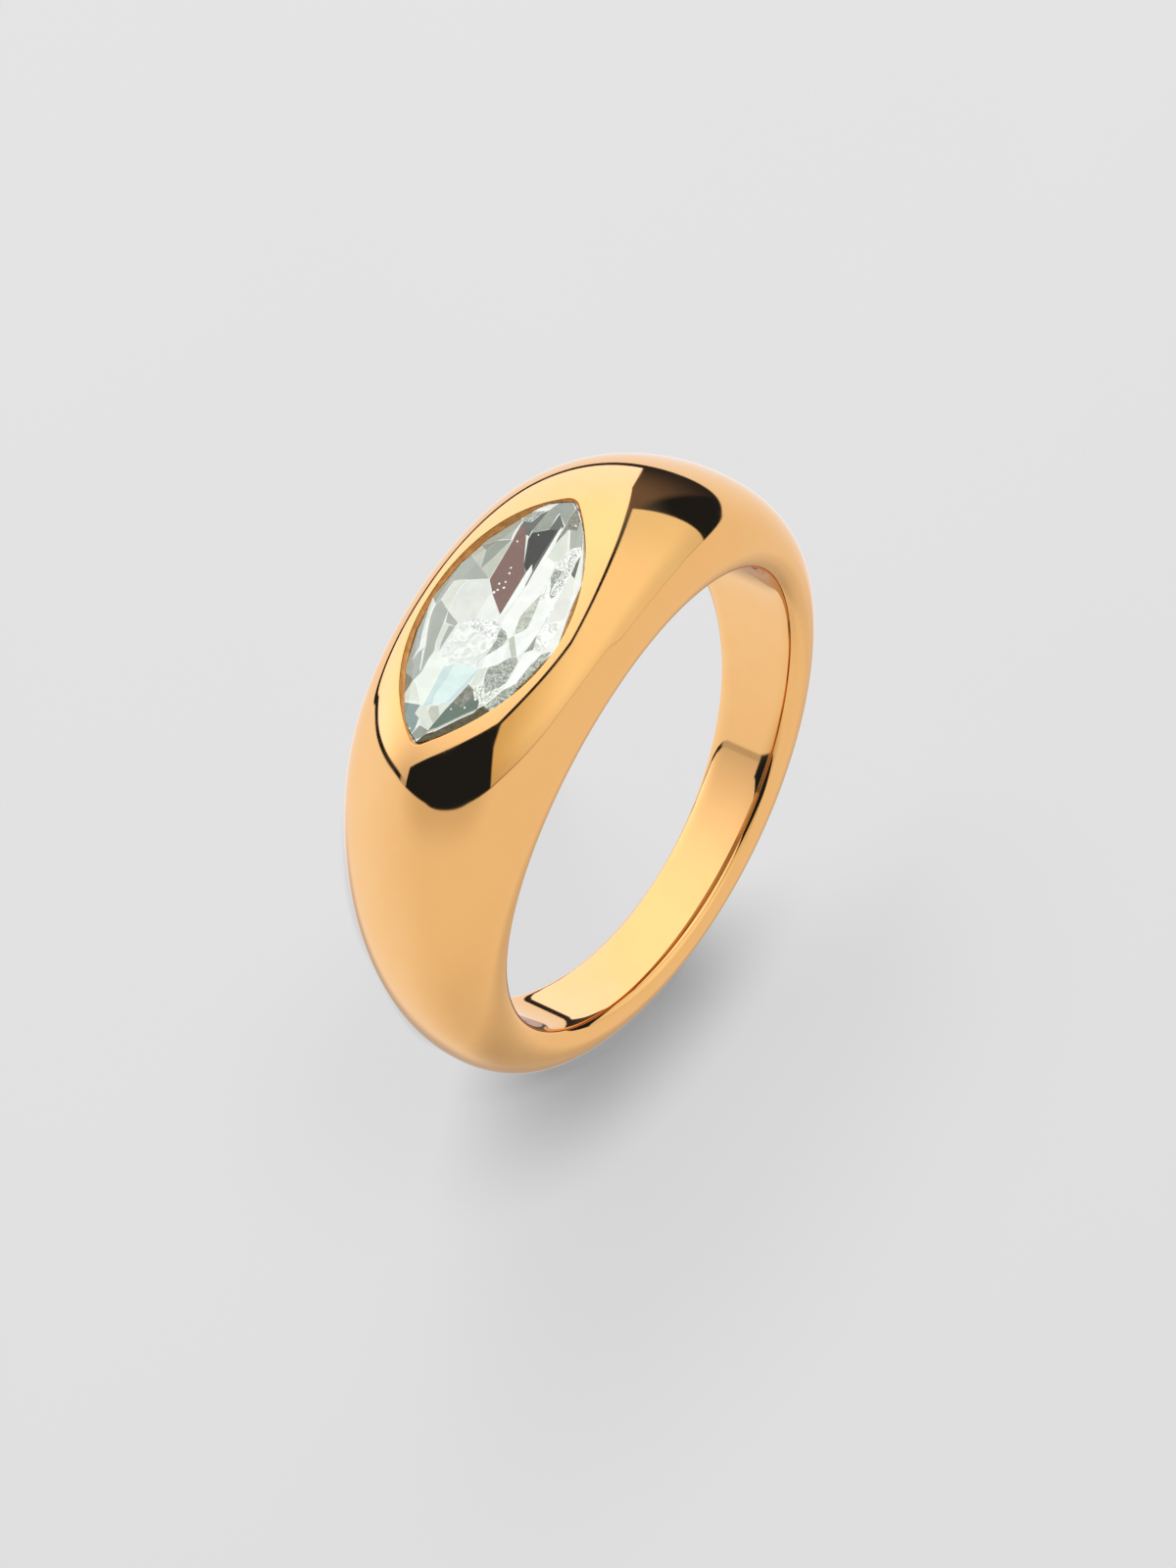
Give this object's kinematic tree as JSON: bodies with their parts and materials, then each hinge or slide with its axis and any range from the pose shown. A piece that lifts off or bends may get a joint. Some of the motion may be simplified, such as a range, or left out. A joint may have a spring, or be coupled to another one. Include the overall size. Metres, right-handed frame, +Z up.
{
  "type": "marquise dome ring",
  "caption": "Polished gold dome ring, lying on its side, with a faceted marquise stone sunk flush in its swelling head.",
  "frame": {"origin": "on the surface that the ring lies on, under the middle of its box", "axes": "+Z up, close to the finger hole's axis, which leans back by about 8 degrees; the head and its stone face -Y; X runs along the stone"},
  "size_m": [0.0218, 0.0216, 0.008],
  "materials": {
    "gold": "mirror-polished yellow gold plate",
    "stone": "clear cut stone, pale grey-green"
  },
  "bodies": {
    "root": {"ring_body": "gold", "marquise_stone": "stone"}
  },
  "joints": []
}
